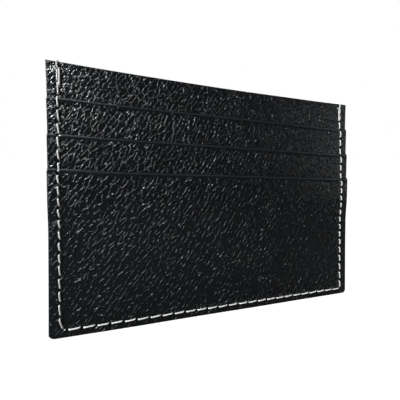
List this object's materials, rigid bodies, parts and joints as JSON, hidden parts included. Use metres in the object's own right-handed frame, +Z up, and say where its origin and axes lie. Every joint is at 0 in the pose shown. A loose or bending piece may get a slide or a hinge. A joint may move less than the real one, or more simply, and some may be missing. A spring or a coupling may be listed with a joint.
{
  "type": "card holder",
  "caption": "Slim flat card holder of black grained leather, with stepped card pockets on both faces, an open-topped central pocket and a pale stitched border.",
  "frame": {"origin": "middle of the bottom edge, on the plane between the two halves", "axes": "+X to the right across the front, -Y out of the front face, +Z up to the open top edge"},
  "size_m": [0.1, 0.006, 0.0742],
  "materials": {
    "leather": "pebbled, semi-matt",
    "lining": "fine weave, matt",
    "board": "fibrous, matt",
    "needle_thread": "twisted ply, satin",
    "floor_thread": "twisted ply, matt",
    "edge_paint": "smooth, satin"
  },
  "bodies": {
    "root": {"front_body_panel": "leather", "front_top_pocket": "leather", "front_middle_pocket": "leather", "front_bottom_pocket": "leather", "front_top_pocket_lining": "lining", "front_middle_pocket_lining": "lining", "front_bottom_pocket_lining": "lining", "front_reinforcement": "board", "front_centre_lining": "lining", "front_top_floor_seam": "floor_thread", "front_middle_floor_seam": "floor_thread", "back_body_panel": "leather", "back_top_pocket": "leather", "back_middle_pocket": "leather", "back_bottom_pocket": "leather", "back_top_pocket_lining": "lining", "back_middle_pocket_lining": "lining", "back_bottom_pocket_lining": "lining", "back_reinforcement": "board", "back_centre_lining": "lining", "back_top_floor_seam": "floor_thread", "back_middle_floor_seam": "floor_thread", "front_stitching": "needle_thread", "back_stitching": "needle_thread", "left_edge_paint": "edge_paint", "right_edge_paint": "edge_paint", "bottom_edge_paint": "edge_paint"}
  },
  "joints": []
}
